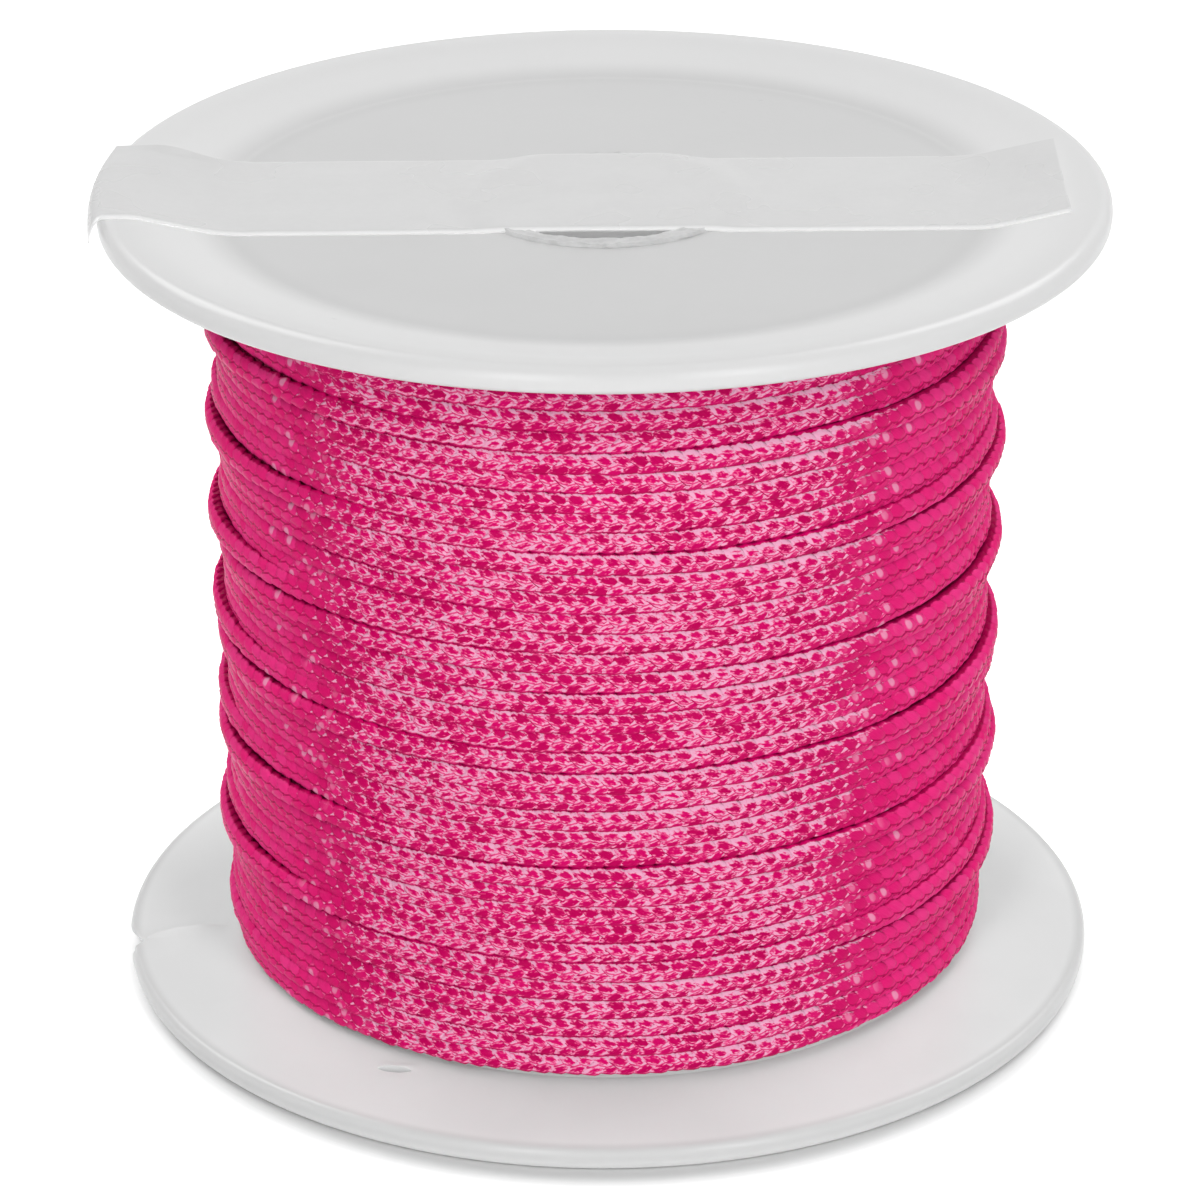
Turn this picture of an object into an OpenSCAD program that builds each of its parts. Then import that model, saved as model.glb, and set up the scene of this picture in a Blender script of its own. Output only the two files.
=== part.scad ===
// Spool of braided line: two dished flanges on a turned-over hub tube, the wound line, and a strip of tape.
// Millimetres. Z is the spool's axis, and z = 0 is the plane that it stands on.

/* [Flanges] */
// Outside diameter of both flanges
flange_d = 58; // [56:0.5:64]
// Height over both rims
spool_h = 48.3; // [44:0.1:60]
// Thickness of a rim at its outer edge
rim_edge_t = 1.5; // [1.45:0.05:1.7]
// Thickness of a rim beside the winding
rim_root_t = 2.0; // [1.8:0.05:2.2]
// Wall of the dished middle
floor_t = 1.2; // [1:0.05:1.4]

/* [Dish and rim] */
// Depth of the dish below the rim's crest
dish_depth = 1.1; // [1:0.05:1.3]
// Slope of the rim's inner side, in degrees
rim_slope = 13; // [13:0.5:18]
// Fillet where the dish floor turns up
foot_round = 1.5; // [0.5:0.1:2.5]
// Rounding where the slope runs out on the crest
crest_round = 5; // [2:0.5:6]
// Width of the flat land that the spool stands on
land_w = 0.5; // [0.3:0.1:0.8]
// Rounding of the rim's outside corner
edge_round = 0.85; // [0.6:0.05:0.95]
// Rounding of the rim's corner on the winding's side
inner_round = 0.45; // [0.3:0.05:0.5]

/* [Line catch] */
// Angle of the notch's tip about the axis, in degrees
notch_angle = 188.5; // [160:0.5:220]
// Width of the notch's straight side, in front of the tip
notch_front = 0.8; // [0.5:0.1:1.2]
// Width of its eased side, behind the tip
notch_back = 2.2; // [1:0.1:2.6]
// Depth of the notch, from the rim inwards
notch_depth = 0.75; // [0.6:0.05:1.2]
// Width of the slit that runs on from the notch
slit_w = 0.2; // [0.15:0.05:0.4]
// Radius at which that slit ends
slit_end_r = 23.3; // [23:0.1:25]
// Turn of the slit from the radius, in degrees
slit_skew = 6; // [0:1:10]
// Angle about the axis of the eye for the line's end, in degrees
eye_angle = 239; // [230:1:250]
// Radius at which the eye sits
eye_r = 23.9; // [23.6:0.1:24.5]
// Length of the eye
eye_len = 2; // [1.8:0.1:3]
// Width of the eye
eye_w = 0.45; // [0.3:0.05:0.8]
// Turn of the eye from the rim's direction, in degrees
eye_skew = 19; // [0:1:30]

/* [Hub] */
// Bore that goes on a spindle
bore_d = 13.2; // [12.6:0.1:13.6]
// Hole in each flange, which the hub's reduced end fills
hub_end_d = 14.8; // [14.6:0.1:15]
// Outside of the tube that the line is wound on
hub_d = 16.4; // [16:0.1:18]
// How far the end is turned over into the hole's chamfer
stake_w = 0.4; // [0.3:0.05:0.5]
// Height of the turned-over end above the dish floor
stake_h = 0.25; // [0.15:0.05:0.35]
// Lead-in at each end of the bore
lead_in = 0.2; // [0.1:0.05:0.25]

/* [Line] */
// Diameter of the braided line
cord_d = 1.2; // [1:0.05:1.25]
// Radius of the outer layer, at the middle of the line
layer_r = 22.25; // [22.2:0.05:22.4]
// Loops in the outer layer
loops = 24; // [12:1:24]

/* [Tape] */
// Width of the tape
tape_w = 12; // [6:0.5:12]
// Thickness of the tape
tape_t = 0.1; // [0.08:0.01:0.15]
// Where the tape's end lies, from the axis
tape_end_x = 26.3; // [24:0.1:27]
// How far the other end hangs down the rim
tape_drop = 1.3; // [1:0.05:1.35]
// Offset of the tape's middle from the axis
tape_y = 0.6; // [-1:0.1:1]
// Turn of the tape about the axis, in degrees
tape_yaw = -0.8; // [-3:0.1:3]
// How far the tape bridges from the hub's end down to the dish floor
tape_bridge = 2.5; // [1.5:0.1:4]

/* [Hidden] */
$fn = 96;
arc_steps = 6;     // segments of each rounded corner in a section
loop_rings = 24;   // rings round each loop of the line
cord_sides = 6;    // sides of the line's section
past = 1;          // how far a cutter runs past what it cuts

flange_r = flange_d / 2;
bore_r = bore_d / 2;
hub_end_r = hub_end_d / 2;
hub_r = hub_d / 2;
cord_r = cord_d / 2;

// Stations of the flange section: radius against depth below the crest
disc_z = dish_depth + floor_t;
slope_run_z = dish_depth - (foot_round + crest_round) * (1 - cos(rim_slope));
land_out_r = flange_r - edge_round;
land_in_r = land_out_r - land_w;
foot_r = land_in_r - (foot_round + crest_round) * sin(rim_slope) - slope_run_z / tan(rim_slope);
disc_r = layer_r - 1.5 * cord_r;
disc_step = disc_z - rim_root_t;
stake_r = hub_end_r + stake_w;

// The layer's loops lie between the rims, and its flats touch the core under it
layer_z0 = rim_root_t + cord_r;
layer_pitch = (spool_h - 2 * layer_z0) / loops;
core_r = layer_r * cos(180 / loop_rings) - cord_r * cos(180 / cord_sides);

function arc(centre, radius, from, to) =
    [for (i = [0:arc_steps]) let (a = from + (to - from) * i / arc_steps)
        centre + radius * [cos(a), sin(a)]];

// Outer face of a flange, from the dish floor over the crest to the rim's wall
function face_line() = concat(
    arc([foot_r, dish_depth - foot_round], foot_round, 90, 90 - rim_slope),
    arc([land_in_r, crest_round], crest_round, 270 - rim_slope, 270),
    arc([land_out_r, edge_round], edge_round, 270, 360)
);

module flange_section() {
    polygon(concat(
        [[hub_end_r, dish_depth + stake_w], [stake_r, dish_depth]],
        face_line(),
        arc([flange_r - inner_round, rim_edge_t - inner_round], inner_round, 0, 90),
        [
            [layer_r, rim_root_t],
            [disc_r + disc_step, rim_root_t],
            [disc_r, disc_z],
            [hub_end_r, disc_z],
        ]
    ));
}

module flange() {
    rotate_extrude() flange_section();
}

// Notch in the rim, straight in front of its tip and eased behind it, and the slit that pinches the line
module notch_cutter() {
    tip = flange_r - notch_depth;
    slit_start = tip + notch_depth / 4;
    mouth = notch_front * (notch_depth + past) / notch_depth;
    eased_side = [for (i = [0:arc_steps]) let (t = i / arc_steps)
        [tip + notch_depth * (1 - pow(1 - t, 2)), -notch_back * t]];
    rotate(notch_angle) translate([0, 0, -past]) linear_extrude(rim_root_t + 2 * past) {
        polygon(concat(eased_side, [[flange_r + past, -notch_back], [flange_r + past, mouth]]));
        translate([slit_start, 0]) rotate(180 + slit_skew) translate([0, -slit_w / 2])
            square([slit_start - slit_end_r, slit_w]);
    }
}

// Thin eye beside the winding, with round ends
module eye_cutter() {
    straight = eye_len - eye_w;
    rotate(eye_angle) translate([eye_r, 0, -past]) rotate(eye_skew) linear_extrude(disc_z + 2 * past) {
        translate([-eye_w / 2, -straight / 2]) square([eye_w, straight]);
        for (end = [-1, 1]) translate([0, end * straight / 2]) circle(d = eye_w, $fn = 24);
    }
}

module lower_flange() {
    color("gainsboro") difference() {
        flange();
        notch_cutter();
        eye_cutter();
    }
}

module upper_flange() {
    color("gainsboro") translate([0, 0, spool_h]) mirror([0, 0, 1]) flange();
}

// Tube with a shoulder under each flange, and ends turned over into the flanges' chamfered holes
module hub_tube() {
    end_z = dish_depth - stake_h;
    turned_end = [
        [hub_r, disc_z],
        [hub_end_r, disc_z],
        [hub_end_r, dish_depth + stake_w],
        [stake_r, dish_depth],
        [stake_r - stake_h / 2, end_z],
        [bore_r + lead_in, end_z],
        [bore_r, end_z + lead_in],
    ];
    other_end = [for (i = [len(turned_end) - 1:-1:0]) [turned_end[i].x, spool_h - turned_end[i].y]];
    color("whitesmoke") rotate_extrude() polygon(concat(turned_end, other_end));
}

// The turns under the outer layer, packed solid between the flanges
module inner_cord_layers() {
    color("mediumvioletred") translate([0, 0, disc_z]) linear_extrude(spool_h - 2 * disc_z) difference() {
        circle(core_r);
        circle(hub_r);
    }
}

// Ring of the line's section at a place on the layer, moved along the line by a straight run
function cord_ring(turns, run) =
    let (
        a = 360 * turns,
        out = [cos(a), sin(a), 0],
        along = [-sin(a), cos(a), 0],
        centre = layer_r * out + run * along + [0, 0, layer_z0 + layer_pitch * turns]
    )
    [for (s = [0:cord_sides - 1]) let (b = 360 * (s + 0.5) / cord_sides)
        centre + cord_r * (cos(b) * out + sin(b) * [0, 0, 1])];

// The whole layer is one line: a straight end, the loops, and a straight end, each one diameter long
layer_rings = concat(
    [cord_ring(0, -cord_d)],
    [for (i = [0:loops * loop_rings]) cord_ring(i / loop_rings, 0)],
    [cord_ring(loops, cord_d)]
);

// Triangles between one ring and the next, and a fan on each end
function tube_faces(rings, sides) = concat(
    [for (i = [0:rings - 2], s = [0:sides - 1], half = [0, 1]) let (
        t = (s + 1) % sides,
        a = i * sides + s,
        b = i * sides + t,
        c = a + sides,
        d = b + sides
    ) half == 0 ? [a, c, b] : [b, c, d]],
    [for (s = [1:sides - 2]) [0, s, s + 1]],
    [for (s = [1:sides - 2]) [for (k = [0, s + 1, s]) (rings - 1) * sides + k]]
);

// Least distance between the points of one loop and those of the next, round the whole layer
least_gap = min([
    for (i = [0:(loops - 1) * loop_rings], near = [-1:1]) let (j = i + loop_rings + near)
        for (p = layer_rings[i + 1], q = layer_rings[j + 1]) norm(p - q)
]);
echo(least_gap_between_loops_mm = least_gap);
echo(loops = loops, pitch_mm = layer_pitch, outer_layer_length_m = 2 * PI * layer_r * loops / 1000);

module outer_cord_layer() {
    color("deeppink") polyhedron(
        points = [for (ring = layer_rings) each ring],
        faces = tube_faces(len(layer_rings), cord_sides),
        convexity = 10
    );
}

function unit(v) = v / norm(v);

// Line of points moved sideways by the tape's thickness
function beside(line, by) = [for (i = [0:len(line) - 1]) let (
    along = unit(line[min(i + 1, len(line) - 1)] - line[max(i - 1, 0)])
) line[i] + by * [along.y, -along.x]];

// Skin of tape on the upper flange: over the hub's end, down to the dish floor, over the crest, down the rim
module tape_section() {
    hub_top = dish_depth - stake_h;
    under = concat(
        [[0, hub_top], [stake_r - stake_h / 2, hub_top], [stake_r + tape_bridge, dish_depth]],
        face_line(),
        [[flange_r, tape_drop]]
    );
    over = beside(under, tape_t);
    polygon(concat(under, [for (i = [len(over) - 1:-1:0]) [max(over[i].x, 0), over[i].y]]));
}

module tape_strip() {
    color("lightgray", 0.8) intersection() {
        translate([0, 0, spool_h]) mirror([0, 0, 1]) rotate_extrude() tape_section();
        rotate(tape_yaw) translate([-flange_d, tape_y - tape_w / 2, spool_h - 2 * dish_depth])
            cube([flange_d + tape_end_x, tape_w, 3 * dish_depth]);
    }
}

lower_flange();
upper_flange();
hub_tube();
inner_cord_layers();
outer_cord_layer();
tape_strip();
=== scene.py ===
import math

import bmesh
import bpy
import numpy as np
from mathutils import Matrix, Vector, noise


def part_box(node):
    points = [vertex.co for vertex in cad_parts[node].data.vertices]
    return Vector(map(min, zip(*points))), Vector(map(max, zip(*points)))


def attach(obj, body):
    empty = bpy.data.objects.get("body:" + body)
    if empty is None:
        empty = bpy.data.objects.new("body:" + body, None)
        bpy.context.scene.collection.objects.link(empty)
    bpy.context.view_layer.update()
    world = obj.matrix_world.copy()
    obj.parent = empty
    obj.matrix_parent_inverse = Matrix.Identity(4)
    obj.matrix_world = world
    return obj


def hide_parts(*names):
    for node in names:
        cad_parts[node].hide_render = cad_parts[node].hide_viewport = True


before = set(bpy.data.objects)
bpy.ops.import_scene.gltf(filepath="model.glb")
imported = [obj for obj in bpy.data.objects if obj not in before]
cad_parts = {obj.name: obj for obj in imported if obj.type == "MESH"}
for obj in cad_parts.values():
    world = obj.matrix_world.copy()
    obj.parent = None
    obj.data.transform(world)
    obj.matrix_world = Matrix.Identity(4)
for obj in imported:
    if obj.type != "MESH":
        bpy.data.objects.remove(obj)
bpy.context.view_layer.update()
mm = 0.001  # sizes below are in millimetres, Blender works in metres
body = "root"
print("frame loaded:", ", ".join(sorted(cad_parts)))

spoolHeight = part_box("upper_flange")[1].z / mm
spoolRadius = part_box("upper_flange")[1].x / mm
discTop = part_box("lower_flange")[1].z / mm  # the lower flange's winding side beside the hub
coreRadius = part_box("inner_cord_layers")[1].x / mm
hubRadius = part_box("hub_tube")[1].x / mm


def ease(t):
    t = np.clip(t, 0.0, 1.0)
    return t * t * (3 - 2 * t)


def wander(x, y, z, seed):  # smooth noise between about -1 and 1
    return noise.noise(Vector((x, y, z + 31.7 * seed)))


def grey(tone):
    return tone, tone, tone


def newObject(name, data):
    made = bpy.data.objects.new(name, data)
    bpy.context.scene.collection.objects.link(made)
    return made


# camera
camera = {
    "place": (0.484, -273.480, 145.651),
    "lens": 151.805,
    "sensor": 36,
    "pitch": 0.42431,  # radians below the horizon
    "yaw": -0.00308,
    "roll": -0.00496,
    "clip": (0.01, 20),  # metres
}

lens = bpy.data.cameras.new("camera")
lens.lens = camera["lens"]
lens.sensor_width = camera["sensor"]
lens.clip_start, lens.clip_end = camera["clip"]
viewer = newObject("camera", lens)
aim = Matrix.Rotation(-camera["yaw"], 4, "Z") @ Matrix.Rotation(math.pi / 2 - camera["pitch"], 4, "X")
aim = aim @ Matrix.Rotation(camera["roll"], 4, "Z")
viewer.matrix_world = Matrix.Translation(Vector(camera["place"]) * mm) @ aim
bpy.context.scene.camera = viewer


# node trees
class Wire:
    def __init__(self, socket):
        self.socket = socket
        self.tree = socket.id_data

    @classmethod
    def node(cls, tree, kind, settings=None, inputs=None, output=0):
        made = tree.nodes.new(kind)
        for name, value in (settings or {}).items():
            setattr(made, name, value)
        for name, value in (inputs or {}).items():
            if isinstance(value, Wire):
                tree.links.new(value.socket, made.inputs[name])
            else:
                made.inputs[name].default_value = value
        return cls(made.outputs[output]) if made.outputs else None

    def other(self, output):  # another output of the same node
        return Wire(self.socket.node.outputs[output])

    def combine(self, operation, first, second=None):
        given = [value for value in (first, second) if value is not None]
        vector = any(isinstance(v, tuple) or isinstance(v, Wire) and v.socket.type == "VECTOR" for v in given)
        kind = "ShaderNodeVectorMath" if vector else "ShaderNodeMath"
        if vector:
            given = [(v, v, v) if isinstance(v, (int, float)) else v for v in given]
        return Wire.node(self.tree, kind, {"operation": operation}, dict(enumerate(given)))

    def __add__(self, other):
        return self.combine("ADD", self, other)

    def __sub__(self, other):
        return self.combine("SUBTRACT", self, other)

    def __rsub__(self, other):
        return self.combine("SUBTRACT", other, self)

    def __mul__(self, other):
        return self.combine("MULTIPLY", self, other)

    def __pow__(self, other):
        return self.combine("POWER", self, other)

    def __gt__(self, other):
        return self.combine("GREATER_THAN", self, other)

    def __abs__(self):
        return self.combine("ABSOLUTE", self)

    def length(self):
        return self.combine("LENGTH", self).other("Value")

    def part(self, axis):  # one number of a vector
        return Wire.node(self.tree, "ShaderNodeSeparateXYZ", {}, {"Vector": self}, axis)

    def band(self, low, high):  # 0 below low, 1 above high, eased between
        return Wire.node(self.tree, "ShaderNodeMapRange", {"interpolation_type": "SMOOTHSTEP"},
                         {"Value": self, "From Min": low, "From Max": high})

    def blend(self, low, high):  # a colour between low and high
        low, high = [(*c, 1) if isinstance(c, tuple) else c for c in (low, high)]
        return Wire.node(self.tree, "ShaderNodeMix", {"data_type": "RGBA"}, {0: self, 6: low, 7: high}, 2)


def newMaterial(name):
    material = bpy.data.materials.new(name)
    material.use_nodes = True
    material.node_tree.nodes.clear()
    return material, material.node_tree


def closeMaterial(tree, shader):
    Wire.node(tree, "ShaderNodeOutputMaterial", {}, {"Surface": shader})


def objectPlace(tree):
    return Wire.node(tree, "ShaderNodeTexCoord", output="Object")


def attribute(tree, name, output="Fac"):
    return Wire.node(tree, "ShaderNodeAttribute", {"attribute_name": name}, output=output)


def axisDistance(place):  # metres from the spool's axis
    return (place * (1.0, 1.0, 0.0)).length()


def cloudsAt(place, scale, detail):
    return Wire.node(place.tree, "ShaderNodeTexNoise", {},
                     {"Vector": place, "Scale": scale, "Detail": detail})


def vectorOf(x, y, z):
    return Wire.node(x.tree, "ShaderNodeCombineXYZ", {}, {"X": x, "Y": y, "Z": z})


def relief(height, strength, distance):
    return Wire.node(height.tree, "ShaderNodeBump", {},
                     {"Height": height, "Strength": strength, "Distance": distance})


def plasticShader(tree, colour, roughness, bumps, weight, reach):  # light goes a little way into it
    return Wire.node(tree, "ShaderNodeBsdfPrincipled", {}, {
        "Base Color": colour,
        "Roughness": roughness,
        "IOR": 1.49,
        "Subsurface Weight": weight,
        "Subsurface Radius": (1.0, 1.0, 1.0),
        "Subsurface Scale": reach,
        "Normal": bumps,
    })


def seenDirectly(tree):  # 1 for what the camera, a reflection or a clear film sees
    path = Wire.node(tree, "ShaderNodeLightPath", output="Is Camera Ray")
    seen = path + path.other("Is Glossy Ray") + path.other("Is Transmission Ray")
    return seen.band(0.0, 1.0)


# studio
studio = {
    "sky": 0.23,
    "horizon": (0.35, 0.7),  # sines of the elevations where the white band round the room fades out
    "floorColour": 0.78,
    "floorRadius": 3.0,  # metres
    "floorLift": (0.0, 0.9, 0.6),  # glow under the rim, just outside it and far off; none under the rim paints a ring of shadow round the spool's foot, over its real shadow
    "liftReach": (0.0274, 0.0304, 0.06, 0.12),  # metres from its middle where it grows and falls again
    # the painted shadow ring's middle sits a little towards the front
    "liftMiddle": (0.0, -0.0016, 0.0),
    "boxes": [  # name, azimuth and elevation seen from the spool, distance, width, height, brightness
        ("leftBox", -19, 26, 600, 130, 530, 5.2),
        ("rightBox", 29, 26, 600, 130, 530, 5.2),
        ("leftFill", -130, 46, 700, 380, 380, 3.6),
        ("rightFill", 130, 46, 700, 380, 380, 3.6),
    ],
}


def softBox(name, azimuth, elevation, distance, width, height, brightness):
    lamp = bpy.data.lights.new(name, "AREA")
    lamp.shape = "RECTANGLE"
    lamp.size = width * mm
    lamp.size_y = height * mm
    lamp.energy = brightness * math.pi * lamp.size * lamp.size_y
    a, e = math.radians(azimuth), math.radians(elevation)
    towards = Vector((math.sin(a) * math.cos(e), -math.cos(a) * math.cos(e), math.sin(e)))
    box = newObject(name, lamp)
    box.rotation_mode = "QUATERNION"
    box.rotation_quaternion = towards.to_track_quat("Z", "Y")
    box.location = towards * distance * mm + Vector((0, 0, spoolHeight / 2 * mm))


for box in studio["boxes"]:
    softBox(*box)

world = bpy.data.worlds.new("studio")
world.use_nodes = True
skyTree = world.node_tree
skyTree.nodes.clear()
lookedAt = Wire.node(skyTree, "ShaderNodeTexCoord", output="Generated").part("Z")
roomWall = seenDirectly(skyTree) * (1 - lookedAt.band(*studio["horizon"]))
sky = Wire.node(skyTree, "ShaderNodeBackground", {},
                {"Color": (1, 1, 1, 1), "Strength": roomWall * (1 - studio["sky"]) + studio["sky"]})
Wire.node(skyTree, "ShaderNodeOutputWorld", {}, {"Surface": sky})
bpy.context.scene.world = world
bpy.context.scene.view_settings.view_transform = "Standard"

floorMaterial, floorTree = newMaterial("pale floor")
floorPaint = Wire.node(floorTree, "ShaderNodeBsdfDiffuse", {}, {"Color": (*grey(studio["floorColour"]), 1)})
fromMiddle = (objectPlace(floorTree) - studio["liftMiddle"]).length()
rimLift, nearLift, farLift = studio["floorLift"]
# painted shadow: the glow is held back near the spool
lift = fromMiddle.band(*studio["liftReach"][:2]) * (nearLift - rimLift) + rimLift
lift = lift - fromMiddle.band(*studio["liftReach"][2:]) * (nearLift - farLift)
floorGlow = Wire.node(floorTree, "ShaderNodeEmission", {},
                      {"Color": (1, 1, 1, 1), "Strength": seenDirectly(floorTree) * lift})
closeMaterial(floorTree, Wire.node(floorTree, "ShaderNodeAddShader", {}, {0: floorPaint, 1: floorGlow}))

floorMesh = bpy.data.meshes.new("floor")
floorForm = bmesh.new()
bmesh.ops.create_circle(floorForm, cap_ends=True, radius=studio["floorRadius"], segments=96)
floorForm.to_mesh(floorMesh)
floorForm.free()
floorMesh.materials.append(floorMaterial)
floor = newObject("floor", floorMesh)
print("studio:", len(studio["boxes"]), "soft boxes, sky and floor")


# shared making
def newMesh(name, points, faces, values=None):
    mesh = bpy.data.meshes.new(name)
    mesh.from_pydata((np.asarray(points) * mm).tolist(), [], faces)
    for label, column in (values or {}).items():
        column = np.asarray(column, dtype=np.float32)
        flat = column.ndim == 1
        layer = mesh.attributes.new(label, "FLOAT" if flat else "FLOAT_VECTOR", "POINT")
        layer.data.foreach_set("value" if flat else "vector", column.ravel())
    mesh.update()
    return mesh


def faceOutwards(mesh):
    form = bmesh.new()
    form.from_mesh(mesh)
    bmesh.ops.recalc_face_normals(form, faces=form.faces)
    form.to_mesh(mesh)
    form.free()


def smoothShade(mesh, degrees):
    mesh.shade_smooth()
    mesh.set_sharp_from_angle(angle=math.radians(degrees))


def closedPiece(name, points, faces, sharpAngle, values=None):
    mesh = newMesh(name, points, faces, values)
    faceOutwards(mesh)
    smoothShade(mesh, sharpAngle)
    return newObject(name, mesh)


def hangOn(piece, slot, *nodes):
    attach(piece, body)
    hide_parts(*nodes)


def bakeModifiers(piece):
    bpy.context.view_layer.update()
    graph = bpy.context.evaluated_depsgraph_get()
    plain = bpy.data.meshes.new_from_object(piece.evaluated_get(graph), preserve_all_data_layers=True,
                                            depsgraph=graph)
    piece.modifiers.clear()
    old = piece.data
    piece.data = plain
    bpy.data.meshes.remove(old)
    return plain


def arcPoints(centre, radius, first, last, steps):
    angles = np.radians(np.linspace(first, last, steps + 1))
    return [(centre[0] + radius * math.cos(a), centre[1] + radius * math.sin(a)) for a in angles]


def closerPoints(loop, spacing):  # more points on the long edges of a closed loop
    fuller = []
    for first, last in zip(loop, loop[1:] + loop[:1]):
        cuts = max(1, math.ceil(math.dist(first, last) / spacing(first)))
        for i in range(cuts):
            t = i / cuts
            fuller.append((first[0] + (last[0] - first[0]) * t, first[1] + (last[1] - first[1]) * t))
    return fuller


def ringFaces(columns, rows):
    faces = []
    for i in range(columns):
        j = (i + 1) % columns
        for k in range(rows):
            m = (k + 1) % rows
            faces.append((i * rows + k, j * rows + k, j * rows + m, i * rows + m))
    return faces


# flanges
flange = {
    "dishDepth": 1.1,
    "slope": 13,  # degrees, from the dish up to the crest
    "footRound": 1.5,
    "crestRound": 5.0,
    "landWidth": 0.5,
    "edgeRound": 0.85,
    "innerRound": 0.45,
    "edgeThickness": 1.5,
    "rootThickness": 2.0,
    "rootRadius": 22.25,
    "discInset": 0.9,  # of the raised disc's edge inside the root
    "discStep": 0.3,
    "seatRadius": 7.4,
    "stake": 0.4,
    "fineFrom": 21,  # radius outside which the section's points stand close
    "spacings": (0.28, 1.4),  # of the points outside and inside that radius
    "columnStep": 1.25,  # degrees
    "closeStep": 0.2,  # the same beside the notch and the eye
    "sharpAngle": 32,
}

notch = {
    "angle": 188.5,  # degrees round the spool, 270 is the front
    "depth": 0.78,
    "frontWidth": 0.8,
    "backWidth": 2.3,
    "frontCurve": 1.3,
    "backCurve": 2.0,
    "undercut": 2.2,  # how far its back runs on per millimetre down the rim
    "bendFrom": 26.0,  # radius at which the rim starts to draw in
    "slitEnd": 23.0,
    "slitAngle": 186.9,
    "slitTurn": 1.7,  # degrees that the slit has turned at the end of its bend
    "slitBend": (26, 2.3),  # radius where it starts, and its length
    "slitWidth": 0.05,
    "slitTaper": 0.5,
    "slitPast": 0.6,  # how far the cut goes on outside the rim
    "lip": 0.3,
    "lipGrowth": 2.0,
    "lipWidth": 0.8,
    "dip": 0.3,  # of the face on the slit's other side, as a share of the lip
    "dipWidth": 0.4,
    "closeColumns": (176, 193),
}

eyelet = {
    "angle": 239.2,
    "radius": 23.8,
    "length": 2.0,
    "width": 0.46,
    "skew": -11.7,  # degrees of its long axis from X
    "endCurve": 0.4,
    "lip": 0.13,
    "lipPlace": 0.3,  # of the lip's crest across the eye
    "lipWidth": 0.28,
    "lipLength": 0.55,  # of the eye's length
    "dip": 0.4,  # on the eye's other side, as a share of the lip
    "dipPlace": -0.25,
    "dipWidth": 0.2,
    "closeColumns": (235, 243.4),
}

lipsWithin = 28.8  # radius that the lips of slit and eye stay inside


def flangeSection():  # radius and depth below the crest, over the face and back on the winding side
    slope = math.radians(flange["slope"])
    rounds = flange["footRound"] + flange["crestRound"]
    landOut = spoolRadius - flange["edgeRound"]
    landIn = landOut - flange["landWidth"]
    rise = flange["dishDepth"] - rounds * (1 - math.cos(slope))
    foot = landIn - rounds * math.sin(slope) - rise / math.tan(slope)
    disc = flange["rootRadius"] - flange["discInset"]
    section = [(flange["seatRadius"], flange["dishDepth"] + flange["stake"])]
    section += [(flange["seatRadius"] + flange["stake"], flange["dishDepth"])]
    section += arcPoints((foot, flange["dishDepth"] - flange["footRound"]), flange["footRound"],
                         90, 90 - flange["slope"], 6)
    section += arcPoints((landIn, flange["crestRound"]), flange["crestRound"], 270 - flange["slope"], 270, 8)
    section += arcPoints((landOut, flange["edgeRound"]), flange["edgeRound"], 270, 360, 9)
    corner = spoolRadius - flange["innerRound"], flange["edgeThickness"] - flange["innerRound"]
    section += arcPoints(corner, flange["innerRound"], 0, 90, 6)
    section += [(flange["rootRadius"], flange["rootThickness"])]
    section += [(disc + flange["discStep"], flange["rootThickness"])]
    section += [(disc, discTop), (flange["seatRadius"], discTop)]
    fine, coarse = flange["spacings"]
    return closerPoints(section, lambda point: fine if point[0] > flange["fineFrom"] else coarse)


outerFace = [point for point in flangeSection() if point[1] <= flange["dishDepth"] + 0.001]
outerFace = outerFace[:1 + max(range(len(outerFace)), key=lambda i: outerFace[i][0])]


def faceDepth(radius):  # depth of a flange's outer face below the crest
    return np.interp(radius, [point[0] for point in outerFace], [point[1] for point in outerFace])


def slitAngle(radius):
    start, span = notch["slitBend"]
    return notch["slitAngle"] + notch["slitTurn"] * np.clip((radius - start) / span, 0, None) ** 2


def drawInNotch(radius, degrees, depth):
    away = np.radians(degrees - notch["angle"]) * spoolRadius
    below = np.clip(flange["edgeThickness"] - depth, 0, None)
    away = np.where(away < 0, np.minimum(away + below * notch["undercut"], 0), away)
    width = np.where(away > 0, notch["frontWidth"], notch["backWidth"])
    near = np.clip(1 - np.abs(away) / width, 0, 1)
    drawn = notch["depth"] * near ** np.where(away > 0, notch["frontCurve"], notch["backCurve"])
    beyond = np.clip((radius - notch["bendFrom"]) / (spoolRadius - notch["bendFrom"]), 0, None)
    return radius - drawn * beyond


def lipLift(radius, degrees):
    gap = np.radians(degrees - slitAngle(radius)) * radius
    reach = ease((radius - notch["slitEnd"]) / notch["lipGrowth"])
    lip = np.exp(-np.abs(gap) / notch["lipWidth"])
    dip = -notch["dip"] * np.exp(-np.abs(gap) / notch["dipWidth"])
    return notch["lip"] * reach * np.where(gap > 0, lip, dip)


def eyeletLift(x, y):
    e = eyelet
    centre = Vector((math.cos(math.radians(e["angle"])), math.sin(math.radians(e["angle"]))))
    centre *= e["radius"]
    turn = math.radians(e["skew"])
    along = (x - centre.x) * math.cos(turn) + (y - centre.y) * math.sin(turn)
    across = -(x - centre.x) * math.sin(turn) + (y - centre.y) * math.cos(turn)
    ends = (along / (e["length"] * e["lipLength"])) ** 4
    lip = np.exp(-((across - e["lipPlace"]) / e["lipWidth"]) ** 2 - ends)
    dip = np.exp(-((across - e["dipPlace"]) / e["dipWidth"]) ** 2 - ends)
    return e["lip"] * (lip - e["dip"] * dip)


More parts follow.
